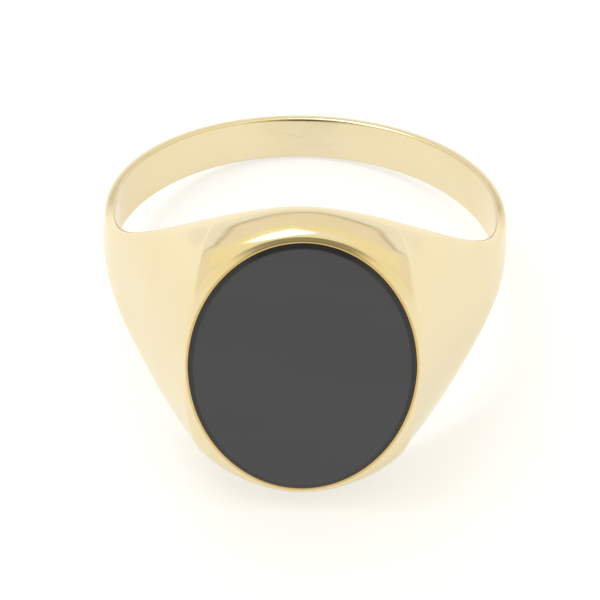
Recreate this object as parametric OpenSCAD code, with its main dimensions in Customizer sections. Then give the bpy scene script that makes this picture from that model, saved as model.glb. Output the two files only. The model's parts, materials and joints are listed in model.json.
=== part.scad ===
// Oval signet ring with a flat black stone, lying on its side.
// The ring body is one casting: a slim band, two swept shoulders and an oval head.
// The head holds the stone in a recess with a ledge, over an opening to the finger.
//
// Shapes are drawn in the ring's own axes, then laid down by lay_down():
// the bore runs along Z and the head looks along -Y. An angle round the bore
// is 0 at the middle of the head and 180 at the back of the band.

/* [Finger bore] */
// Inside diameter of the ring
bore_d = 19; // [17:0.25:22]

/* [Stone] */
// Length of the stone, along the finger
stone_l = 14; // [11:0.5:16]
// Width of the stone, across the finger
stone_w = 11; // [8.5:0.5:12.5]
// Thickness of the stone, from its back to its flat top
stone_t = 1.6; // [1.2:0.1:1.9]
// How far the bevel reaches in from the stone's edge
bevel_w = 0.35; // [0.2:0.05:0.6]
// How far the bevel drops from the flat top
bevel_h = 0.12; // [0.05:0.01:0.3]
// Gap between the stone and the wall round it
stone_gap = 0.05; // [0.03:0.01:0.1]
// Thickness of the cement under the stone
cement_t = 0.1; // [0.05:0.05:0.2]

/* [Head] */
// Height of the head's lip above the bore
head_h = 2.75; // [2.6:0.05:3.6]
// Flat lip of metal left round the stone
lip_w = 0.15; // [0.1:0.01:0.3]
// How far the head's belly bulges past the lip at its two ends
belly_w = 0.4; // [0.2:0.05:0.7]
// Width of the ledge that the stone rests on
ledge_w = 0.95; // [0.6:0.05:1.3]

/* [Band] */
// Width of the band halfway round, beside the finger
side_w = 2.7; // [2.2:0.1:4]
// Width of the band at the back
back_w = 2.3; // [1.6:0.1:3.5]
// Thickness of the band's edge
edge_t = 0.4; // [0.35:0.01:0.8]
// Height of the band's crown above its edge
crown_t = 0.15; // [0.08:0.01:0.5]
// How quickly the shoulders narrow: a smaller number narrows them sooner
sweep = 1.85; // [1.4:0.05:2.2]
// Rounding of the band's inner edges
band_round = 0.12; // [0.08:0.01:0.2]
// Rounding of the head's lower edges, along the finger
head_round = 0.4; // [0.2:0.05:0.5]
// Height of that rounding, away from the finger
head_round_h = 0.9; // [0.5:0.05:1.2]

/* [Hidden] */

// Colours of the polished gold, the onyx and the cement
GOLD = [0.93, 0.80, 0.47];
ONYX = [0.20, 0.20, 0.20];
CEMENT = [0.80, 0.77, 0.68];

// Radii round the bore, and the height of the head's lip above the bore's centre
bore_r = bore_d / 2;
edge_r = bore_r + edge_t;
band_r = edge_r + crown_t;
lip_y = bore_r + head_h;

// Half sizes of the stone, the recess round it and the lip, as [across, along the finger]
stone_half = [stone_w, stone_l] / 2;
recess_half = stone_half + [1, 1] * stone_gap;
lip_half = recess_half + [1, 1] * lip_w;
opening_half = recess_half - [1, 1] * ledge_w;

// Heights of the stone's parts above the bore's centre
stone_top = lip_y + bevel_h;
stone_back = stone_top - stone_t;
ledge_y = stone_back - cement_t;

// Half widths of the head's belly and of the band
head_half = lip_half[1] + belly_w;
side_half = side_w / 2;
back_half = back_w / 2;

// Angle at which the lip ends, and the one at which the shoulder runs into the band
lip_end = atan(lip_half[0] / lip_y);
lip_end_r = lip_y / cos(lip_end);
shoulder_end = lip_end + acos(band_r / lip_end_r);

// Half width of the flat that replaces the sharp top of the shoulders and band
crown_flat = 0.2;
// Squareness of the walls between the edge and the crown: 2 is an ellipse
wall_square = 2.1;
// Depth by which a cut runs past the surface that it starts from
past = 1;
// Small step that keeps neighbouring points of a section apart
clear = 0.02;

// Sections in each quarter of the lip, on each shoulder and on each half of the band
LIP_STEPS = 12;
SHOULDER_STEPS = 12;
BAND_STEPS = 24;
// Facets in each rounding, wall and flat of a section
ROUND_STEPS = 3;
WALL_STEPS = 8;
FLAT_STEPS = 2;
// Facets round an oval
OVAL_STEPS = 96;

// 1 in the middle of the head, falling smoothly to 0 beside the finger
function headness(a) = a < 90 ? 1 - pow(sin(a), sweep) : 0;

// Half width of the body at an angle, at its widest
function half_at(a) =
    a < 90
    ? side_half + (head_half - side_half) * headness(a)
    : back_half + (side_half - back_half) * pow(sin(a), 2);

// Radius of the body's top at an angle: flat lip, straight shoulder, round band
function top_at(a) =
    a <= lip_end ? lip_y / cos(a)
    : a < shoulder_end ? band_r / cos(shoulder_end - a)
    : band_r;

// Half width of the flat top at an angle
function flat_at(a) =
    let (across = lip_y * tan(min(a, 89)) / lip_half[0])
    across < 1 ? max(crown_flat, lip_half[1] * sqrt(1 - across * across)) : crown_flat;

// Rounding of the inner edge at an angle, as [outwards from the bore, along the finger]
function round_at(a) =
    [1, 1] * band_round
    + [head_round_h - band_round, head_round - band_round] * headness(a);

// Upper half of the section at an angle, as [radius, height] from the bore to the crown
function half_section(a) =
    let (
        half = half_at(a),
        top = top_at(a),
        flat = flat_at(a),
        r = round_at(a),
        first = bore_r + clear,
        wall_r = max(edge_r, first + r[0] + clear),
        power = 2 / wall_square
    )
    concat(
        [[bore_r - past, half - r[1]]],
        [for (i = [0 : ROUND_STEPS]) let (t = 90 * i / ROUND_STEPS)
            [first + r[0] * (1 - cos(t)), half - r[1] * (1 - sin(t))]],
        [for (i = [0 : WALL_STEPS]) let (t = 90 * i / WALL_STEPS)
            [wall_r + (top - wall_r) * pow(sin(t), power),
             flat + (half - flat) * pow(cos(t), power)]],
        [for (i = [1 : FLAT_STEPS]) [top, flat * (1 - i / FLAT_STEPS)]]
    );

// Whole section: the upper half, then the lower half without the crown's middle point
function section(a) =
    let (upper = half_section(a), n = len(upper))
    concat(upper, [for (i = [n - 2 : -1 : 0]) [upper[i][0], -upper[i][1]]]);

// Angles of the sections on one side, close together where the lip turns
side_angles = concat(
    [for (i = [0 : LIP_STEPS]) atan(lip_half[0] * sin(90 * i / LIP_STEPS) / lip_y)],
    [for (i = [1 : SHOULDER_STEPS])
        lip_end + (shoulder_end - lip_end) * i / SHOULDER_STEPS],
    [for (i = [1 : BAND_STEPS]) shoulder_end + (180 - shoulder_end) * i / BAND_STEPS]
);
side_n = len(side_angles);
// All the way round: one side, then the other without the two sections in the middle
ring_angles = concat(
    side_angles,
    [for (i = [side_n - 2 : -1 : 1]) 360 - side_angles[i]]
);

// A section's points in space, at an angle of up to 360 round the bore
function placed(a) =
    [for (p = section(a > 180 ? 360 - a : a)) [p[0] * sin(a), -p[0] * cos(a), p[1]]];

// Two triangles for each cell between neighbouring sections, closed both ways
function skin(rings, points) =
    [for (i = [0 : rings - 1], j = [0 : points - 1])
        let (
            ni = (i + 1) % rings,
            nj = (j + 1) % points,
            a = i * points + j,
            b = ni * points + j,
            c = ni * points + nj,
            d = i * points + nj
        )
        each [[a, b, c], [a, c, d]]];

// Slope of the line that touches the undersides of the head and of the band's back
head_under = [for (p = half_section(0)) if (p[0] > bore_r) p];
back_under = [for (p = half_section(180)) if (p[0] > bore_r) p];
lie = atan(max([for (h = head_under)
    min([for (b = back_under) (h[1] - b[1]) / (h[0] + b[0])])]));

// Lays the ring down on its side, with the head raised by the lie angle
module lay_down() {
    rotate([-lie, 0, 0])
        children();
}

// Oval prism standing along the head's axis, between two heights above the centre
module oval_prism(half, low, high) {
    translate([0, -low, 0])
        rotate([90, 0, 0])
            linear_extrude(high - low)
                polygon([for (i = [0 : OVAL_STEPS - 1]) let (t = 360 * i / OVAL_STEPS)
                    [half[0] * cos(t), half[1] * sin(t)]]);
}

// Gold casting: band, shoulders and head, with the bore, recess and opening cut in it
module ring_body() {
    rings = [for (a = ring_angles) placed(a)];
    color(GOLD)
        lay_down()
            difference() {
                polyhedron(
                    points = [for (ring = rings) each ring],
                    faces = skin(len(rings), len(rings[0]))
                );
                cylinder(r = bore_r, h = 3 * head_half, center = true, $fn = 180);
                oval_prism(recess_half, ledge_y, lip_y + past);
                oval_prism(opening_half, bore_r / 2, ledge_y + past);
            }
}

// Black stone: an oval tablet with a flat top and a narrow bevel
module stone() {
    steps = OVAL_STEPS;
    levels = [
        [stone_half, stone_back],
        [stone_half, lip_y],
        [stone_half - [1, 1] * bevel_w, stone_top]
    ];
    color(ONYX)
        lay_down()
            polyhedron(
                points = [for (level = levels, i = [0 : steps - 1])
                    let (t = 360 * i / steps)
                    [level[0][0] * cos(t), -level[1], level[0][1] * sin(t)]],
                faces = concat(
                    [[for (i = [0 : steps - 1]) i]],
                    [for (k = [0 : len(levels) - 2], i = [0 : steps - 1])
                        let (a = k * steps + i, b = k * steps + (i + 1) % steps)
                        each [[a, a + steps, b], [b, a + steps, b + steps]]],
                    [[for (i = [steps - 1 : -1 : 0]) (len(levels) - 1) * steps + i]]
                )
            );
}

// Cement between the stone's back and the ledge, open in the middle like the ledge
module cement_bed() {
    color(CEMENT)
        lay_down()
            difference() {
                oval_prism(stone_half, ledge_y, stone_back);
                oval_prism(opening_half, ledge_y - past, stone_back + past);
            }
}

ring_body();
stone();
cement_bed();
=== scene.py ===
"""An oval signet ring in polished yellow gold, set with a flat black onyx.

Each piece is drawn in the ring's own axes, in metres: the finger bore runs along Z,
the head looks along -Y, and an angle round the bore is 0 at the middle of the head.
lay_down() then tips the piece onto its side, as the ring lies on a table.
"""
import json
from math import acos, asin, atan, atan2, cos, pi, radians, sin, sqrt, tau

import bmesh
import bpy
from bpy.props import FloatProperty, FloatVectorProperty, IntProperty, PointerProperty
from mathutils import Matrix, Vector, noise


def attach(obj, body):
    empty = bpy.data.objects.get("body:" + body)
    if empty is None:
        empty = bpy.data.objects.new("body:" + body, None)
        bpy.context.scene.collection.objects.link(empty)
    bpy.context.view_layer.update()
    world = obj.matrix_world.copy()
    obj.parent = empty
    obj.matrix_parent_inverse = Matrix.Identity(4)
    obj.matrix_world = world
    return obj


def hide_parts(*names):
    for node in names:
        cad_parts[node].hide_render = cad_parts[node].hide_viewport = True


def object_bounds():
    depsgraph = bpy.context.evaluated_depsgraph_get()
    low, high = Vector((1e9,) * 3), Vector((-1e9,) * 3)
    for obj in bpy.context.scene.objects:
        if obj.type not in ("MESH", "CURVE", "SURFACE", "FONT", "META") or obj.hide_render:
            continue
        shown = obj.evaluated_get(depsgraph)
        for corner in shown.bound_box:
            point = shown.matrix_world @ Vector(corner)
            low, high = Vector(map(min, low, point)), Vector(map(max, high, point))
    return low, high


bl_info = {
    "name": "Signet Ring",
    "version": (1, 0, 0),
    "blender": (4, 5, 0),
    "location": "View3D > Sidebar > Signet Ring",
    "description": "Makes a gold signet ring with an oval onyx, and a studio for it",
    "category": "Add Mesh",
}

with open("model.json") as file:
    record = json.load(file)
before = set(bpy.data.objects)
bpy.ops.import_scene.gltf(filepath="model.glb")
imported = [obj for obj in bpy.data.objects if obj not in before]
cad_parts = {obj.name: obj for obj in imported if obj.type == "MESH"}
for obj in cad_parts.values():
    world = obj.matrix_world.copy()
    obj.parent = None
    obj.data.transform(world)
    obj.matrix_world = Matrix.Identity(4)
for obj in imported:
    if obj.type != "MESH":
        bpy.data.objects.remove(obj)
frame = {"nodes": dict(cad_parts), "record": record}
CAD_BOX = [list(corner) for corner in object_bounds()]

MM = 0.001
MOUNTS = {mount["name"]: mount for mount in frame["record"]["mounts"]}

# The ring's own axes, as they lie in the frame: across, out of the head, and along the bore
ACROSS = Vector((1, 0, 0))
BORE_AXIS = Vector(MOUNTS["finger_bore"]["axis"]).normalized()
HEAD_AXIS = Vector(MOUNTS["stone_top"]["axis"]).normalized()
LIE = atan2(BORE_AXIS.y, BORE_AXIS.z)


def reach(node, axis):
    """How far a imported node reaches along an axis, from the centre of the bore."""
    return max(vertex.co.dot(axis) for vertex in frame["nodes"][node].data.vertices)


class RingSizes(bpy.types.PropertyGroup):
    """Sizes of the gold casting."""

    bore_r: FloatProperty(
        name="Bore radius",
        description="Inside radius of the ring",
        default=MOUNTS["finger_bore"]["dims"]["r_mm"] * MM,
        subtype="DISTANCE",
        unit="LENGTH",
    )
    lip_y: FloatProperty(
        name="Lip height",
        description="Height of the head's lip above the centre of the bore",
        default=reach("ring_body", HEAD_AXIS),
        subtype="DISTANCE",
        unit="LENGTH",
    )
    head_half: FloatProperty(
        name="Head half length",
        description="Half the length of the head along the finger",
        default=reach("ring_body", BORE_AXIS),
        subtype="DISTANCE",
        unit="LENGTH",
    )
    band_r: FloatProperty(
        name="Band radius",
        description="Outside radius of the band at its crown",
        default=reach("ring_body", -HEAD_AXIS),
        subtype="DISTANCE",
        unit="LENGTH",
    )
    lip_w: FloatProperty(
        name="Lip width",
        description="Width of the lip of metal round the stone",
        default=0.08 * MM,
        subtype="DISTANCE",
        unit="LENGTH",
    )
    crown_t: FloatProperty(
        name="Crown height",
        description="Height of the band's crown above its edge",
        default=0.15 * MM,
        subtype="DISTANCE",
        unit="LENGTH",
    )
    side_half: FloatProperty(
        name="Side half width",
        description="Half the width of the band beside the finger",
        default=1.35 * MM,
        subtype="DISTANCE",
        unit="LENGTH",
    )
    back_half: FloatProperty(
        name="Back half width",
        description="Half the width of the band at the back",
        default=1.15 * MM,
        subtype="DISTANCE",
        unit="LENGTH",
    )
    ledge_w: FloatProperty(
        name="Ledge width",
        description="Width of the ledge under the stone",
        default=0.95 * MM,
        subtype="DISTANCE",
        unit="LENGTH",
    )
    band_round: FloatProperty(
        name="Band rounding",
        description="Rounding of the band's inner edges",
        default=0.12 * MM,
        subtype="DISTANCE",
        unit="LENGTH",
    )
    head_round: FloatProperty(
        name="Head rounding",
        description="Rounding of the head's lower edges, along the finger",
        default=0.4 * MM,
        subtype="DISTANCE",
        unit="LENGTH",
    )
    head_round_h: FloatProperty(
        name="Head rounding height",
        description="Height of that rounding, away from the finger",
        default=0.9 * MM,
        subtype="DISTANCE",
        unit="LENGTH",
    )
    sweep: FloatProperty(
        name="Shoulder sweep",
        description="How slowly the shoulders narrow from the head to the band",
        default=1.85,
    )


class StoneSizes(bpy.types.PropertyGroup):
    """Sizes of the onyx and of the cement under it."""

    half_across: FloatProperty(
        name="Half width",
        description="Half the stone's width, across the finger",
        default=reach("stone", ACROSS),
        subtype="DISTANCE",
        unit="LENGTH",
    )
    half_along: FloatProperty(
        name="Half length",
        description="Half the stone's length, along the finger",
        default=reach("stone", BORE_AXIS),
        subtype="DISTANCE",
        unit="LENGTH",
    )
    top: FloatProperty(
        name="Top height",
        description="Height of the stone's flat top above the centre of the bore",
        default=reach("stone", HEAD_AXIS),
        subtype="DISTANCE",
        unit="LENGTH",
    )
    back: FloatProperty(
        name="Back height",
        description="Height of the stone's back above the centre of the bore",
        default=-reach("stone", -HEAD_AXIS),
        subtype="DISTANCE",
        unit="LENGTH",
    )
    ledge: FloatProperty(
        name="Ledge height",
        description="Height of the ledge and of the cement's underside",
        default=-reach("cement_bed", -HEAD_AXIS),
        subtype="DISTANCE",
        unit="LENGTH",
    )
    bevel_w: FloatProperty(
        name="Bevel width",
        description="How far the bevel reaches in from the stone's edge",
        default=0.35 * MM,
        subtype="DISTANCE",
        unit="LENGTH",
    )
    segments: IntProperty(
        name="Segments",
        description="Facets round the stone's oval",
        default=192,
    )


class Finishes(bpy.types.PropertyGroup):
    """Colours of the ring's materials and of the studio."""

    gold: FloatVectorProperty(
        name="Gold",
        description="Colour that the polished gold reflects",
        default=(0.805, 0.708, 0.485),
        subtype="COLOR",
        size=3,
    )
    onyx: FloatVectorProperty(
        name="Onyx",
        description="Body colour of the black stone",
        default=(0.030, 0.031, 0.042),
        subtype="COLOR",
        size=3,
    )
    cement: FloatVectorProperty(
        name="Cement",
        description="Colour of the cured cement",
        default=(0.62, 0.56, 0.42),
        subtype="COLOR",
        size=3,
    )
    floor: FloatVectorProperty(
        name="Floor",
        description="Colour of the studio floor",
        default=(0.43, 0.43, 0.442),
        subtype="COLOR",
        size=3,
    )


# ---------------------------------------------------------------- shared helpers


def lay_down(bm):
    """Tips everything in a bmesh onto its side, from the ring's own axes."""
    bmesh.ops.rotate(
        bm, verts=bm.verts, cent=(0, 0, 0), matrix=Matrix.Rotation(-LIE, 3, "X")
    )


def finish_piece(bm, name, material, node, levels=0):
    """Lays a bmesh down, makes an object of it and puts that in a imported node's place."""
    bmesh.ops.recalc_face_normals(bm, faces=bm.faces)
    lay_down(bm)
    mesh = bpy.data.meshes.new(name)
    bm.to_mesh(mesh)
    bm.free()
    mesh.shade_smooth()
    mesh.materials.append(material)
    piece = bpy.data.objects.new(name, mesh)
    bpy.context.scene.collection.objects.link(piece)
    if levels:
        smooth = piece.modifiers.new("Smooth", "SUBSURF")
        smooth.levels = levels
        smooth.render_levels = levels
    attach(piece, "root")
    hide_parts(node)


# An oval is (half width, half length, height above the centre of the bore), and
# its size is the first two of these


def widened(size, by):
    """An oval's size, with an even margin added all round."""
    return size[0] + by, size[1] + by


def oval_bmesh(oval, segments, filled=False):
    """A bmesh that holds one oval, facing out of the head."""
    bm = bmesh.new()
    bmesh.ops.create_circle(bm, cap_ends=filled, segments=segments, radius=1)
    upright = Matrix.Rotation(pi / 2, 3, "X")
    bmesh.ops.rotate(bm, verts=bm.verts, cent=(0, 0, 0), matrix=upright)
    bmesh.ops.scale(bm, verts=bm.verts, vec=(oval[0], 1, oval[1]))
    bmesh.ops.translate(bm, verts=bm.verts, vec=(0, -oval[2], 0))
    return bm


def step_oval(bm, edges, old, new):
    """Extrudes a loop of edges from one oval to another, and returns the new edges."""
    made = bmesh.ops.extrude_edge_only(bm, edges=edges)["geom"]
    verts = [item for item in made if isinstance(item, bmesh.types.BMVert)]
    bmesh.ops.scale(bm, vec=(new[0] / old[0], 1, new[1] / old[1]), verts=verts)
    bmesh.ops.translate(bm, vec=(0, old[2] - new[2], 0), verts=verts)
    return [
        item
        for item in made
        if isinstance(item, bmesh.types.BMEdge) and all(v in verts for v in item.verts)
    ]


def step_ovals(bm, edges, ovals):
    """Extrudes a loop of edges through a row of ovals, and returns its last edges."""
    for old, new in zip(ovals, ovals[1:]):
        edges = step_oval(bm, edges, old, new)
    return edges


# ---------------------------------------------------------------- node helpers


class Nodes:
    """Short ways to add and join the nodes of one material or world."""

    def __init__(self, tree):
        self.tree = tree
        tree.nodes.clear()

    def add(self, kind, **settings):
        """Adds a node, with its settings by name and its sockets by in_ and their name."""
        node = self.tree.nodes.new(kind)
        for key, value in settings.items():
            if key.startswith("in_"):
                node.inputs[key[3:].replace("_", " ")].default_value = value
            else:
                setattr(node, key, value)
        return node

    def join(self, source, target):
        """Joins an output socket to an input socket."""
        self.tree.links.new(source, target)

    def noise(self, vector, scale, detail):
        """Noise in the object's own space, as a value round 0.5."""
        node = self.add("ShaderNodeTexNoise", in_Scale=scale, in_Detail=detail)
        self.join(vector, node.inputs["Vector"])
        return node.outputs["Fac"]

    def stretched(self, vector, turn, scale):
        """A place turned and stretched, so that noise on it runs as fine lines."""
        node = self.add("ShaderNodeMapping")
        node.inputs["Rotation"].default_value = turn
        node.inputs["Scale"].default_value = scale
        self.join(vector, node.inputs["Vector"])
        return node.outputs["Vector"]

    def ramp(self, value, low, high, to_low=0.0, to_high=1.0, kind="LINEAR"):
        """Maps a value's range onto another, clamped at both ends."""
        node = self.add("ShaderNodeMapRange", clamp=True, interpolation_type=kind)
        node.inputs["From Min"].default_value = low
        node.inputs["From Max"].default_value = high
        node.inputs["To Min"].default_value = to_low
        node.inputs["To Max"].default_value = to_high
        self.join(value, node.inputs["Value"])
        return node.outputs["Result"]

    def math(self, operation, first, second):
        """Arithmetic on two values, each a socket or a number."""
        node = self.add("ShaderNodeMath", operation=operation)
        for value, socket in zip((first, second), node.inputs):
            if isinstance(value, (int, float)):
                socket.default_value = value
            else:
                self.join(value, socket)
        return node.outputs[0]

    def blend(self, amount, first, second):
        """A colour between two others."""
        node = self.add("ShaderNodeMix", data_type="RGBA")
        self.join(amount, node.inputs["Factor"])
        for value, socket in ((first, node.inputs["A"]), (second, node.inputs["B"])):
            if isinstance(value, bpy.types.NodeSocket):
                self.join(value, socket)
            else:
                socket.default_value = (*value, 1)
        return node.outputs["Result"]

    def along(self, place, direction):
        """How far a place lies along a direction."""
        node = self.add("ShaderNodeVectorMath", operation="DOT_PRODUCT")
        self.join(place, node.inputs[0])
        node.inputs[1].default_value = direction
        return node.outputs["Value"]

    def bump(self, height, strength, distance, after=None):
        """Raises the surface by a height, on top of an earlier bump."""
        node = self.add("ShaderNodeBump", in_Strength=strength, in_Distance=distance)
        self.join(height, node.inputs["Height"])
        if after:
            self.join(after, node.inputs["Normal"])
        return node.outputs["Normal"]


def new_material(name):
    """A new material, with its node helpers, its place on the object and its shader."""
    material = bpy.data.materials.new(name)
    material.use_nodes = True
    nodes = Nodes(material.node_tree)
    place = nodes.add("ShaderNodeTexCoord").outputs["Object"]
    shader = nodes.add("ShaderNodeBsdfPrincipled")
    output = nodes.add("ShaderNodeOutputMaterial")
    nodes.join(shader.outputs["BSDF"], output.inputs["Surface"])
    return material, nodes, place, shader


# ---------------------------------------------------------------- materials


# Turns of the scratches left by wear, one for each direction that they run in
GOLD_SCRATCHES = ((0.3, 0.2, 0.5), (1.1, 0.7, 2.0), (2.2, 0.4, 1.2))
ONYX_SCRATCHES = ((0.2, 0.9, 0.1), (1.3, 0.1, 0.8))
# How fine the scratches are along each axis, and the least noise that makes one
SCRATCH_STRETCH = (260, 9000, 260)
SCRATCH_LEAST = 0.62
# Scratches are cut into the surface, so their depth is below zero
SCRATCH_DEPTH = -0.002 * MM
SCRATCH_BUMP = 0.06
# Roughness that a scratch adds to the gold, and to the onyx
GOLD_SCUFF = 0.07
ONYX_SCUFF = 0.12
# Direction and fineness of the faint bands in the onyx
ONYX_BAND_TURN = (0.4, 0.25, 0.9)
ONYX_BAND_STRETCH = (60, 900, 60)
# Shares of the gold's own colour that its duller parts keep, and that the lip's edge keeps
# as painted shade beside the stone
DULLER_GOLD = (0.985, 0.955, 0.88)
LIP_EDGE_PAINTED_SHADE = (0.80, 0.66, 0.42)
# Shares of the onyx's own colour on its lighter bands, and on its bevel, which is painted
# darker as painted shade
LIGHTER_ONYX = 1.25
BEVEL_PAINTED_SHADE = 0.65
# Heights over the lip between which the painted shade on the gold's edge comes in, and the
# dark joint ends
LIP_EDGE_FROM = 0.008 * MM
LIP_EDGE_TO = 0.03 * MM
# Depths under the stone's top between which the table begins and the bevel's painted shade
# ends
TABLE_EDGE_FROM = 0.03 * MM
TABLE_EDGE_TO = 0.005 * MM
ONYX_IOR = 1.54
# Shares of their own colours on the darker grain of the cement and of the floor
DARKER_CEMENT = 0.7
DIMMER_BOARD = 0.985
BOARD_ROUGHNESS = 0.55
# Light from below that the floor adds to the light that it throws back
FLOOR_GLOW = 0.585


def shaded(colour, share):
    """A share of a colour, either even or by channel."""
    shares = share if isinstance(share, tuple) else (share,) * 3
    return tuple(channel * part for channel, part in zip(colour, shares))


def hairlines(nodes, place, turns, width):
    """Hairline scratches in several directions, 1 on a line and 0 between them."""
    total = None
    for turn in turns:
        stretched = nodes.stretched(place, turn, SCRATCH_STRETCH)
        lines = nodes.noise(stretched, scale=1.0, detail=2.0)
        fine = nodes.ramp(lines, SCRATCH_LEAST, SCRATCH_LEAST + width)
        total = fine if total is None else nodes.math("MAXIMUM", total, fine)
    return total


def polished_gold(colour, lip_y):
    """Pale yellow gold: hazy polish, hairline scratches and painted shade on the lip's edge
    beside the stone.
    """
    material, nodes, place, shader = new_material("PolishedGold")
    shader.inputs["Metallic"].default_value = 1.0
    haze = nodes.noise(place, scale=420, detail=4.0)
    cloud = nodes.noise(place, scale=150, detail=2.0)
    lines = hairlines(nodes, place, GOLD_SCRATCHES, width=0.10)
    height = nodes.along(place, HEAD_AXIS)
    # Painted shade: the lip's edge, where it folds over the stone, is painted darker and
    # browner
    edge = nodes.ramp(height, lip_y + LIP_EDGE_FROM, lip_y + LIP_EDGE_TO)
    clouded = nodes.ramp(cloud, 0.35, 0.7)
    skin = nodes.blend(clouded, colour, shaded(colour, DULLER_GOLD))
    tinted = nodes.blend(edge, skin, shaded(colour, LIP_EDGE_PAINTED_SHADE))
    nodes.join(tinted, shader.inputs["Base Color"])

    # The polish is a little hazy, and duller towards the back of the band
    polish = nodes.ramp(haze, 0.3, 0.75, to_low=0.12, to_high=0.20)
    worn = nodes.ramp(height, -0.8 * lip_y, 0.6 * lip_y, to_low=0.02, to_high=0.0)
    scuffs = nodes.math("ADD", worn, nodes.math("MULTIPLY", lines, GOLD_SCUFF))
    nodes.join(nodes.math("ADD", polish, scuffs), shader.inputs["Roughness"])

    uneven = nodes.noise(place, scale=260, detail=1.0)
    ripples = nodes.bump(uneven, strength=0.25, distance=0.02 * MM)
    scratched = nodes.bump(lines, SCRATCH_BUMP, SCRATCH_DEPTH, after=ripples)
    nodes.join(scratched, shader.inputs["Normal"])
    return material


def black_onyx(colour, foot, top):
    """Black onyx: a faintly banded flat top, a bevel with painted shade that also shines
    less, and a dark joint.
    """
    material, nodes, place, shader = new_material("BlackOnyx")
    shader.inputs["IOR"].default_value = ONYX_IOR
    stretched = nodes.stretched(place, ONYX_BAND_TURN, ONYX_BAND_STRETCH)
    bands = nodes.noise(stretched, scale=1.0, detail=3.0)
    height = nodes.along(place, HEAD_AXIS)
    # Painted shade: the bevel below the table's edge is painted a darker black than the
    # table
    table = nodes.ramp(height, top - TABLE_EDGE_FROM, top - TABLE_EDGE_TO)
    banded = nodes.ramp(bands, 0.4, 0.75)
    skin = nodes.blend(banded, colour, shaded(colour, LIGHTER_ONYX))
    tinted = nodes.blend(table, shaded(colour, BEVEL_PAINTED_SHADE), skin)
    nodes.join(tinted, shader.inputs["Base Color"])

    # The bevel shines less than the table, and the joint with the lip hardly at all
    joint = nodes.ramp(height, foot + LIP_EDGE_FROM, foot + LIP_EDGE_TO, to_low=0.1)
    shine = nodes.ramp(table, 0.0, 1.0, to_low=0.33, to_high=0.5)
    gloss = nodes.math("MULTIPLY", joint, shine)
    nodes.join(gloss, shader.inputs["Specular IOR Level"])

    lines = hairlines(nodes, place, ONYX_SCRATCHES, width=0.08)
    haze = nodes.noise(place, scale=700, detail=5.0)
    polish = nodes.ramp(haze, 0.3, 0.7, to_low=0.10, to_high=0.16)
    scuffed = nodes.math("ADD", polish, nodes.math("MULTIPLY", lines, ONYX_SCUFF))
    nodes.join(scuffed, shader.inputs["Roughness"])
    scratched = nodes.bump(lines, SCRATCH_BUMP, SCRATCH_DEPTH)
    nodes.join(scratched, shader.inputs["Normal"])
    return material


def cured_cement(colour):
    """Cured cement: a dull, slightly grainy fillet."""
    material, nodes, place, shader = new_material("CuredCement")
    grain = nodes.noise(place, scale=6000, detail=4.0)
    grained = nodes.ramp(grain, 0.3, 0.7)
    tinted = nodes.blend(grained, shaded(colour, DARKER_CEMENT), colour)
    nodes.join(tinted, shader.inputs["Base Color"])
    dull = nodes.ramp(grain, 0.3, 0.7, to_low=0.45, to_high=0.7)
    nodes.join(dull, shader.inputs["Roughness"])
    rough = nodes.bump(grain, strength=0.4, distance=0.01 * MM)
    nodes.join(rough, shader.inputs["Normal"])
    return material


def white_board(colour):
    """Matt white board for the studio floor, lit softly from below like a light table."""
    material, nodes, place, shader = new_material("WhiteBoard")
    tooth = nodes.ramp(nodes.noise(place, scale=300, detail=3.0), 0.3, 0.7)
    tinted = nodes.blend(tooth, colour, shaded(colour, DIMMER_BOARD))
    nodes.join(tinted, shader.inputs["Base Color"])
    shader.inputs["Roughness"].default_value = BOARD_ROUGHNESS
    shader.inputs["Emission Color"].default_value = (1, 1, 1, 1)
    shader.inputs["Emission Strength"].default_value = FLOOR_GLOW
    return material


# ---------------------------------------------------------------- the gold casting

# Stations on one side of the ring: along the lip, down the shoulder, round the band
LIP_STEPS = 12
SHOULDER_STEPS = 10
BAND_STEPS = 18
SIDE_STEPS = LIP_STEPS + SHOULDER_STEPS + BAND_STEPS
# Points on half a section: across the bore, round its edge, up the wall, over the crown
BORE_POINTS = 4
ROUND_POINTS = 3
WALL_POINTS = 8
CROWN_POINT = BORE_POINTS + ROUND_POINTS + WALL_POINTS + 1
LIP_POINT = CROWN_POINT - 1
# Squareness of the wall between the edge and the crown: 2 is an ellipse
WALL_SQUARE = 2.1
# Half width of the band's crown, as a share of the band's own half width
CROWN_SHARE = 0.12
# Width of the row of faces round the opening, on the finger's side
OPENING_ROW = 0.3 * MM
# Gap between the stone and the wall of its recess
STONE_GAP = 0.05 * MM
# The lip where it folds over the stone, down to the recess's wall: millimetres out
# from the stone's edge, and millimetres above the flat of the lip
LIP_FOLD = ((0.05, 0.035), (-0.01, 0.04), (-0.04, 0.03), (-0.04, -0.005), (0.05, -0.1))
# Height of the row of faces that keeps the corner of the ledge crisp
LEDGE_ROW = 0.05 * MM


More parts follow.
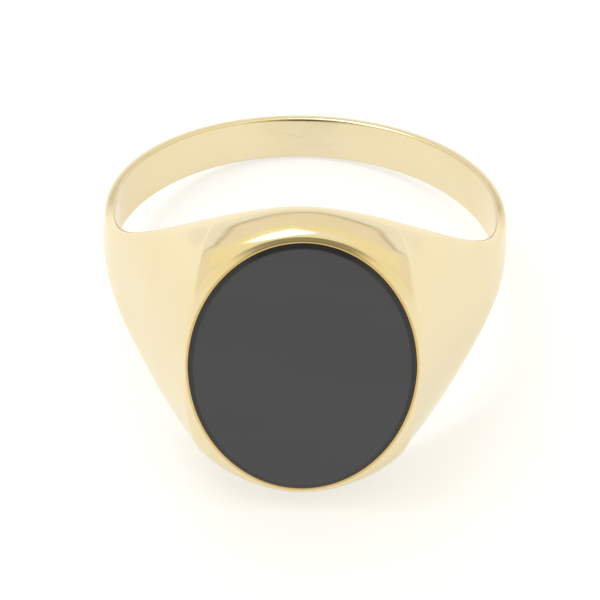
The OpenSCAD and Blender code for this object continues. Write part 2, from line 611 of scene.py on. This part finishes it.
class Casting:
    """The shape of the casting: where each point of its skin lies."""

    def __init__(self, ring, stone):
        self.ring = ring
        self.recess = widened((stone.half_across, stone.half_along), STONE_GAP)
        self.lip = widened(self.recess, ring.lip_w)
        self.opening = widened(self.recess, -ring.ledge_w)
        self.edge_r = ring.band_r - ring.crown_t
        self.lip_end = atan(self.lip[0] / ring.lip_y)
        lip_end_r = ring.lip_y / cos(self.lip_end)
        self.shoulder_end = self.lip_end + acos(ring.band_r / lip_end_r)

    def lip_turn(self, station):
        """Turn round the oval lip at a station, from its end on the bore's side."""
        return pi / 2 * station / (LIP_STEPS + 0.5)

    def angle(self, station):
        """Angle round the bore of a station's section."""
        if station <= LIP_STEPS:
            return atan(self.lip[0] * sin(self.lip_turn(station)) / self.ring.lip_y)
        first = self.angle(LIP_STEPS)
        if station <= LIP_STEPS + SHOULDER_STEPS:
            share = (station - LIP_STEPS) / SHOULDER_STEPS
            return first + (self.shoulder_end - first) * share
        share = (station - LIP_STEPS - SHOULDER_STEPS) / BAND_STEPS
        return self.shoulder_end + (pi - self.shoulder_end) * share

    def nearness(self, station):
        """1 at the end of the opening, falling smoothly to 0 at the back of the band."""
        return (1 - (station - LIP_STEPS) / (SIDE_STEPS - LIP_STEPS)) ** 3

    def bore_angle(self, station):
        """Angle of a station's points on the bore, which run round the opening."""
        if station <= LIP_STEPS:
            turned = sin(self.lip_turn(station))
            return asin(self.opening[0] * turned / self.ring.bore_r)
        ahead = self.bore_angle(LIP_STEPS) - self.angle(LIP_STEPS)
        return self.angle(station) + ahead * self.nearness(station)

    def headness(self, angle):
        """1 in the middle of the head, falling smoothly to 0 beside the finger."""
        return 1 - sin(angle) ** self.ring.sweep if angle < pi / 2 else 0

    def half(self, angle):
        """Half width of the casting at an angle."""
        ring = self.ring
        if angle < pi / 2:
            rest = ring.head_half - ring.side_half
            return ring.side_half + rest * self.headness(angle)
        return ring.back_half + (ring.side_half - ring.back_half) * sin(angle) ** 2

    def top(self, angle):
        """Radius of the casting's top at an angle: lip, straight shoulder, round band."""
        if angle <= self.lip_end:
            return self.ring.lip_y / cos(angle)
        if angle < self.shoulder_end:
            return self.ring.band_r / cos(self.shoulder_end - angle)
        return self.ring.band_r

    def flat(self, station):
        """Half width of the top at a station: the lip's, then a narrow crown."""
        if station <= LIP_STEPS:
            return self.lip[1] * cos(self.lip_turn(station))
        crown = CROWN_SHARE * self.half(self.angle(station))
        share = min((station - LIP_STEPS) / SHOULDER_STEPS, 1)
        return crown + (self.flat(LIP_STEPS) - crown) * (1 - share) ** 2

    def bore_place(self, station, point, rounding):
        """Radius, angle and height of a point on the bore, from its middle to its edge."""
        bore_r = self.ring.bore_r
        if point == 0 and station == LIP_STEPS:
            return bore_r, asin(self.opening[0] / bore_r), 0
        angle = self.bore_angle(station)
        edge = self.half(angle) - rounding
        if station > LIP_STEPS:
            share = (point / BORE_POINTS) ** (1 + self.nearness(station))
            return bore_r, angle, edge * share
        # Two rows run round the opening, and the others spread to the edge
        turn = self.lip_turn(station)
        row = OPENING_ROW if point > 1 else 0
        row_angle = asin((self.opening[0] + row) * sin(turn) / bore_r)
        along = (self.opening[1] + row) * cos(turn)
        share = max(point - 2, 0) / (BORE_POINTS - 2)
        spread = row_angle + (angle - row_angle) * share
        return bore_r, spread, along + (edge - along) * share

    def place(self, station, point):
        """Radius, angle and height of a point on the upper half of a section."""
        ring = self.ring
        angle = self.angle(station)
        half = self.half(angle)
        head = self.headness(angle)
        rounding = ring.band_round + (ring.head_round - ring.band_round) * head
        rise = ring.band_round + (ring.head_round_h - ring.band_round) * head
        if point <= BORE_POINTS:
            return self.bore_place(station, point, rounding)
        if point <= BORE_POINTS + ROUND_POINTS:
            turn = pi / 2 * (point - BORE_POINTS) / ROUND_POINTS
            height = half - rounding * (1 - sin(turn))
            return ring.bore_r + rise * (1 - cos(turn)), angle, height
        if point <= LIP_POINT:
            turn = pi / 2 * (point - BORE_POINTS - ROUND_POINTS) / WALL_POINTS
            power = 2 / WALL_SQUARE
            flat = self.flat(station)
            height = flat + (half - flat) * max(cos(turn), 0) ** power
            start = max(self.edge_r, ring.bore_r + rise)
            return start + (self.top(angle) - start) * sin(turn) ** power, angle, height
        if station == LIP_STEPS:
            return ring.lip_y / cos(self.lip_end), self.lip_end, 0
        return self.top(angle), angle, 0

    def position(self, station, point):
        """A point of the skin in the ring's own axes.

        Stations past the middle of the head are mirrored across the finger, and
        points past the crown are mirrored along it.
        """
        side = 1 if station >= 0 else -1
        upper = point if point <= CROWN_POINT else 2 * CROWN_POINT - point
        radius, angle, height = self.place(abs(station), upper)
        height = height if point <= CROWN_POINT else -height
        return Vector((side * radius * sin(angle), -radius * cos(angle), height))


def open_head(bm, station_of, point_of):
    """Opens the middle of the head, outside and inside, and returns the rims' edges."""
    removed = []
    for face in bm.faces:
        if any(abs(station_of[v]) > LIP_STEPS for v in face.verts):
            continue
        points = [point_of[v] for v in face.verts]
        over_crown = all(abs(p - CROWN_POINT) <= 1 for p in points)
        over_bore = all(min(p, 2 * CROWN_POINT - p) <= 1 for p in points)
        if over_crown or over_bore:
            removed.append(face)
    bmesh.ops.delete(bm, geom=removed, context="FACES")
    rims = [edge for edge in bm.edges if edge.is_boundary]
    outer = [e for e in rims if all(abs(point_of[v] - CROWN_POINT) <= 1 for v in e.verts)]
    inner = [edge for edge in rims if edge not in outer]
    return outer, inner


def spun_band(ring):
    """A plain ring of the casting's faces, with the station and point of each vertex."""
    bm = bmesh.new()
    # The section's vertices are numbered from the middle of the bore, upwards first
    mark = bm.verts.layers.int.new("point")
    around = 2 * CROWN_POINT
    section = bmesh.ops.create_circle(bm, segments=around, radius=ring.crown_t)["verts"]
    for number, vertex in enumerate(section):
        vertex[mark] = number
    upright = Matrix.Rotation(pi / 2, 3, "Y")
    bmesh.ops.rotate(bm, verts=bm.verts, cent=(0, 0, 0), matrix=upright)
    bmesh.ops.translate(bm, verts=bm.verts, vec=(0, -ring.band_r, 0))
    bmesh.ops.spin(
        bm,
        geom=bm.verts[:] + bm.edges[:],
        cent=(0, 0, 0),
        axis=(0, 0, 1),
        angle=tau,
        steps=2 * SIDE_STEPS,
        use_merge=True,
    )
    station_of = {}
    point_of = {}
    for vertex in bm.verts:
        turn = atan2(vertex.co.x, -vertex.co.y)
        station_of[vertex] = round(turn / pi * SIDE_STEPS)
        point_of[vertex] = vertex[mark]
    return bm, station_of, point_of


def casting_bmesh(ring, stone):
    """The whole casting: a spun band, swelled into a head, and cut out for the stone."""
    casting = Casting(ring, stone)
    bm, station_of, point_of = spun_band(ring)
    for vertex in bm.verts:
        vertex.co = casting.position(station_of[vertex], point_of[vertex])
    outer, inner = open_head(bm, station_of, point_of)

    # The lip folds over the stone's edge, and the recess drops from it to the ledge
    size = (stone.half_across, stone.half_along)
    fold = [(*widened(size, out * MM), ring.lip_y + up * MM) for out, up in LIP_FOLD]
    ovals = [
        (*casting.lip, ring.lip_y),
        *fold,
        (*casting.recess, stone.ledge + LEDGE_ROW),
        (*casting.recess, stone.ledge),
        (*casting.opening, stone.ledge),
    ]
    edges = step_ovals(bm, outer, ovals)
    bmesh.ops.bridge_loops(bm, edges=edges + inner)
    return bm


class SIGNET_OT_ring_body(bpy.types.Operator):
    """Make the gold casting: band, shoulders and head"""

    bl_idname = "signet.ring_body"
    bl_label = "Ring Body"

    def execute(self, context):
        scene = context.scene
        bm = casting_bmesh(scene.signet_ring, scene.signet_stone)
        gold = polished_gold(scene.signet_finishes.gold, scene.signet_ring.lip_y)
        finish_piece(bm, "GoldCasting", gold, "ring_body", levels=2)
        return {"FINISHED"}


# ---------------------------------------------------------------- the stone


# Rounding that polishing leaves on the stone's edges, and its facets
POLISHED_EDGE = 0.035 * MM
POLISHED_FACETS = 3
# Least angle between two faces that makes the edge between them one to round
SHARP = radians(10)
# Width of the ring of faces inside the stone's two flats, which keeps them flat
FLAT_ROW = 0.05 * MM


def stone_bmesh(stone, ring):
    """The onyx: an oval tablet with a bevelled edge and a flat top."""
    size = (stone.half_across, stone.half_along)
    ovals = [
        (*size, stone.back),
        (*size, ring.lip_y),
        (*widened(size, -stone.bevel_w), stone.top),
    ]
    bm = oval_bmesh(ovals[0], stone.segments, filled=True)
    rim = [edge for edge in bm.edges if edge.is_boundary]
    bmesh.ops.contextual_create(bm, geom=step_ovals(bm, rim, ovals))
    bmesh.ops.bevel(
        bm,
        geom=[edge for edge in bm.edges if edge.calc_face_angle(0) > SHARP],
        offset=POLISHED_EDGE,
        offset_type="OFFSET",
        affect="EDGES",
        segments=POLISHED_FACETS,
        profile=0.5,
        material=-1,
    )
    flats = [face for face in bm.faces if len(face.verts) == stone.segments]
    bmesh.ops.inset_individual(bm, faces=flats, thickness=FLAT_ROW)
    return bm


class SIGNET_OT_stone(bpy.types.Operator):
    """Make the flat black stone"""

    bl_idname = "signet.stone"
    bl_label = "Stone"

    def execute(self, context):
        scene = context.scene
        bm = stone_bmesh(scene.signet_stone, scene.signet_ring)
        foot, top = scene.signet_ring.lip_y, scene.signet_stone.top
        onyx = black_onyx(scene.signet_finishes.onyx, foot, top)
        finish_piece(bm, "OnyxTablet", onyx, "stone")
        return {"FINISHED"}


# ---------------------------------------------------------------- the cement


# How far the cement stays in from the stone's edge
CEMENT_SHORT = 0.02 * MM
# How much narrower than the ledge it is at its foot
CEMENT_NARROWER = 0.07 * MM
# How far it bulges inwards over its foot, and how high over the ledge that begins
CEMENT_BULGE = 0.1 * MM
CEMENT_FOOT = 0.02 * MM
# Share by which its inner edge wavers, and the length of the waves
CEMENT_WAVER = 0.006
CEMENT_WAVE = 1.5 * MM
# Distance from the middle, in inner ovals, within which a vertex is on the inner edge
INNER_EDGE = 1.001


def cement_bmesh(stone, ring):
    """The cement under the stone: a thin oval band with an uneven inner edge."""
    size = (stone.half_across, stone.half_along)
    outer = widened(size, -CEMENT_SHORT)
    foot = widened(size, -(ring.ledge_w - CEMENT_NARROWER))
    inner = widened(foot, -CEMENT_BULGE)
    ovals = [
        (*outer, stone.ledge),
        (*outer, stone.back),
        (*inner, stone.back),
        (*inner, stone.ledge + CEMENT_FOOT),
        (*widened(inner, CEMENT_BULGE), stone.ledge),
    ]
    bm = oval_bmesh(ovals[0], stone.segments)
    first = list(bm.edges)
    last = step_ovals(bm, first, ovals)
    bmesh.ops.bridge_loops(bm, edges=first + last)
    for vertex in bm.verts:
        out = sqrt((vertex.co.x / inner[0]) ** 2 + (vertex.co.z / inner[1]) ** 2)
        if out < INNER_EDGE:
            wave = 1 + CEMENT_WAVER * noise.noise(vertex.co / CEMENT_WAVE)
            vertex.co.x *= wave
            vertex.co.z *= wave
    return bm


class SIGNET_OT_cement_bed(bpy.types.Operator):
    """Make the cement that holds the stone"""

    bl_idname = "signet.cement_bed"
    bl_label = "Cement Bed"

    def execute(self, context):
        scene = context.scene
        bm = cement_bmesh(scene.signet_stone, scene.signet_ring)
        cement = cured_cement(scene.signet_finishes.cement)
        finish_piece(bm, "CementBed", cement, "cement_bed")
        return {"FINISHED"}


# ---------------------------------------------------------------- the studio

# Where the camera stands, as angles from the line out of the head
CAMERA_RISE = radians(32.1)
CAMERA_YAW = radians(-0.13)
CAMERA_ROLL = radians(1.43)
# Camera distance, and how far the view's middle lies from the bore's centre
CAMERA_DISTANCE = 234.2 * MM
AIM_RIGHT = -0.247 * MM
AIM_DOWN = 3.30 * MM
# Focal length and width of the camera's sensor, in millimetres
CAMERA_LENS = 282.1
CAMERA_SENSOR = 36

# Soft box over the ring: its place, its width and depth in metres, and its watts
TOP_LIGHT_PLACE = (-0.09, 0.09, 0.28)
TOP_LIGHT_SIZE = (0.24, 0.13)
TOP_LIGHT_POWER = 0.32
# Half the width of the floor, in metres, and the squares along each side of it
FLOOR_HALF = 1.5
FLOOR_SQUARES = 8

# Brightness of the tent, and the share of it at the camera's opening
TENT_LIGHT = 1.06
TENT_OPENING = 0.32
# A height in the tent is the sine of an elevation, and aside is how far a direction
# turns to either side, from 0 straight ahead to 1 fully sideways
SEAM_HEIGHT = 0.20
SEAM_WIDTH = 0.04
ROOF_HEIGHT = 0.60
ROOF_BLUR = 0.03
# Where aside the seam rises, then falls, and where the roof's edge falls
SEAM_RISE_FROM, SEAM_RISE_TO = 0.40, 0.68
SEAM_FALL_FROM, SEAM_FALL_TO = 0.80, 0.98
ROOF_FALL_FROM, ROOF_FALL_TO = 0.66, 0.96
# How far each of them rises or falls
SEAM_RISE = 0.16
SEAM_FALL = 0.60
ROOF_FALL = 0.28
# Heights over the roof's edge between which its tint fades to white
ROOF_FADE_FROM, ROOF_FADE_TO = 0.18, 0.24
# Tints of the seam, of the wall over it, and of the roof and the camera's opening
SEAM_TINT = (0.34, 0.27, 0.13)
WALL_TINT = (0.95, 0.89, 0.78)
WARM_TINT = (1.02, 0.94, 0.66)
WHITE = (1, 1, 1)
# Where the camera's opening is, and the cosines at which its warm surround and the
# opening itself begin and are whole
OPENING_TOWARD = Vector((0, -0.8, 0.6))
WARM_FROM, WARM_TO = 0.30, 0.75
OPENING_FROM, OPENING_TO = 0.83, 0.91


def add_camera():
    """Looks down at the head from above its near end, from well back."""
    turned = Matrix.Rotation(CAMERA_YAW, 3, BORE_AXIS)
    out = turned @ HEAD_AXIS
    right = turned @ ACROSS
    back = out * cos(CAMERA_RISE) + BORE_AXIS * sin(CAMERA_RISE)
    up = BORE_AXIS * cos(CAMERA_RISE) - out * sin(CAMERA_RISE)
    roll = Matrix.Rotation(CAMERA_ROLL, 3, back)
    right, up = roll @ right, roll @ up
    data = bpy.data.cameras.new("Camera")
    data.lens = CAMERA_LENS
    data.sensor_width = CAMERA_SENSOR
    data.clip_start = 0.01
    data.clip_end = 10
    camera = bpy.data.objects.new("Camera", data)
    camera.matrix_world = Matrix((right, up, back)).transposed().to_4x4()
    camera.location = back * CAMERA_DISTANCE + right * AIM_RIGHT - up * AIM_DOWN
    bpy.context.scene.collection.objects.link(camera)
    bpy.context.scene.camera = camera


def add_soft_box(name, place, aim, size, power):
    """A soft light of a given width and depth, which faces a point."""
    data = bpy.data.lights.new(name, "AREA")
    data.shape = "RECTANGLE"
    data.size, data.size_y = size
    data.energy = power
    light = bpy.data.objects.new(name, data)
    light.location = place
    facing = Vector(aim) - Vector(place)
    light.rotation_euler = facing.to_track_quat("-Z", "Y").to_euler()
    bpy.context.scene.collection.objects.link(light)


def add_floor(colour):
    """A wide pale floor under the ring."""
    bm = bmesh.new()
    bmesh.ops.create_grid(
        bm, x_segments=FLOOR_SQUARES, y_segments=FLOOR_SQUARES, size=FLOOR_HALF
    )
    lowest = CAD_BOX[0][2]
    bmesh.ops.translate(bm, verts=bm.verts, vec=(0, 0, lowest))
    mesh = bpy.data.meshes.new("Floor")
    bm.to_mesh(mesh)
    bm.free()
    mesh.materials.append(white_board(colour))
    floor = bpy.data.objects.new("Floor", mesh)
    bpy.context.scene.collection.objects.link(floor)


def tent_tint(nodes, place):
    """Colour of the tent by direction: white walls, an arched seam and a warm roof."""
    split = nodes.add("ShaderNodeSeparateXYZ")
    nodes.join(place, split.inputs["Vector"])
    height = split.outputs["Z"]
    aside = nodes.math("ABSOLUTE", split.outputs["X"], 0)
    # The seam and the roof's edge arch over at each side, like the tent's end hoops
    rise = nodes.ramp(
        aside,
        SEAM_RISE_FROM,
        SEAM_RISE_TO,
        SEAM_HEIGHT,
        SEAM_HEIGHT + SEAM_RISE,
        "SMOOTHSTEP",
    )
    fall = nodes.ramp(
        aside, SEAM_FALL_FROM, SEAM_FALL_TO, 0.0, SEAM_FALL, "SMOOTHSTEP"
    )
    over_seam = nodes.math("SUBTRACT", height, nodes.math("SUBTRACT", rise, fall))
    edge = nodes.ramp(
        aside,
        ROOF_FALL_FROM,
        ROOF_FALL_TO,
        ROOF_HEIGHT,
        ROOF_HEIGHT - ROOF_FALL,
        "SMOOTHSTEP",
    )
    over_roof = nodes.math("SUBTRACT", height, edge)
    wall = nodes.ramp(over_seam, 0.0, SEAM_WIDTH)
    tint = nodes.blend(wall, WHITE, WALL_TINT)
    from_seam = nodes.math("ABSOLUTE", over_seam, 0)
    tint = nodes.blend(nodes.ramp(from_seam, 0.0, SEAM_WIDTH), SEAM_TINT, tint)
    roof = nodes.ramp(over_roof, -ROOF_BLUR, ROOF_BLUR)
    tint = nodes.blend(roof, tint, WARM_TINT)
    above = nodes.ramp(over_roof, ROOF_FADE_FROM, ROOF_FADE_TO)
    return nodes.blend(above, tint, WHITE)


def add_world():
    """A white tent, with a warm tint round the grey opening for the camera."""
    world = bpy.data.worlds.new("Tent")
    world.use_nodes = True
    nodes = Nodes(world.node_tree)
    place = nodes.add("ShaderNodeTexCoord").outputs["Generated"]
    tint = tent_tint(nodes, place)
    near = nodes.along(place, OPENING_TOWARD.normalized())
    tint = nodes.blend(nodes.ramp(near, WARM_FROM, WARM_TO), tint, WARM_TINT)
    opening = nodes.ramp(near, OPENING_FROM, OPENING_TO, 1.0, TENT_OPENING)
    light = nodes.math("MULTIPLY", opening, TENT_LIGHT)
    background = nodes.add("ShaderNodeBackground")
    nodes.join(tint, background.inputs["Color"])
    nodes.join(light, background.inputs["Strength"])
    output = nodes.add("ShaderNodeOutputWorld")
    nodes.join(background.outputs["Background"], output.inputs["Surface"])
    bpy.context.scene.world = world


class SIGNET_OT_studio(bpy.types.Operator):
    """Set up the camera, the tent, the soft light and the pale floor"""

    bl_idname = "signet.studio"
    bl_label = "Studio"

    def execute(self, context):
        scene = context.scene
        scene.view_settings.view_transform = "Standard"
        add_camera()
        add_world()
        add_floor(scene.signet_finishes.floor)
        add_soft_box(
            "TopLight", TOP_LIGHT_PLACE, (0, 0, 0), TOP_LIGHT_SIZE, TOP_LIGHT_POWER
        )
        return {"FINISHED"}


# ---------------------------------------------------------------- the sidebar


class SIGNET_PT_panel(bpy.types.Panel):
    """Sizes, finishes and buttons for the signet ring"""

    bl_label = "Signet Ring"
    bl_idname = "SIGNET_PT_panel"
    bl_space_type = "VIEW_3D"
    bl_region_type = "UI"
    bl_category = "Signet Ring"

    def draw(self, context):
        layout = self.layout
        scene = context.scene
        for group in (scene.signet_ring, scene.signet_stone, scene.signet_finishes):
            box = layout.box()
            for name in group.__annotations__:
                box.prop(group, name)
        for operator in OPERATORS:
            layout.operator(operator.bl_idname)


GROUPS = (RingSizes, StoneSizes, Finishes)
OPERATORS = (
    SIGNET_OT_studio,
    SIGNET_OT_ring_body,
    SIGNET_OT_stone,
    SIGNET_OT_cement_bed,
)
CLASSES = (*GROUPS, *OPERATORS, SIGNET_PT_panel)


def register():
    for cls in CLASSES:
        bpy.utils.register_class(cls)
    bpy.types.Scene.signet_ring = PointerProperty(type=RingSizes)
    bpy.types.Scene.signet_stone = PointerProperty(type=StoneSizes)
    bpy.types.Scene.signet_finishes = PointerProperty(type=Finishes)


def unregister():
    del bpy.types.Scene.signet_finishes
    del bpy.types.Scene.signet_stone
    del bpy.types.Scene.signet_ring
    for cls in reversed(CLASSES):
        bpy.utils.unregister_class(cls)


def main():
    register()
    bpy.ops.signet.studio()
    bpy.ops.signet.ring_body()
    bpy.ops.signet.stone()
    bpy.ops.signet.cement_bed()


if __name__ == "__main__":
    main()
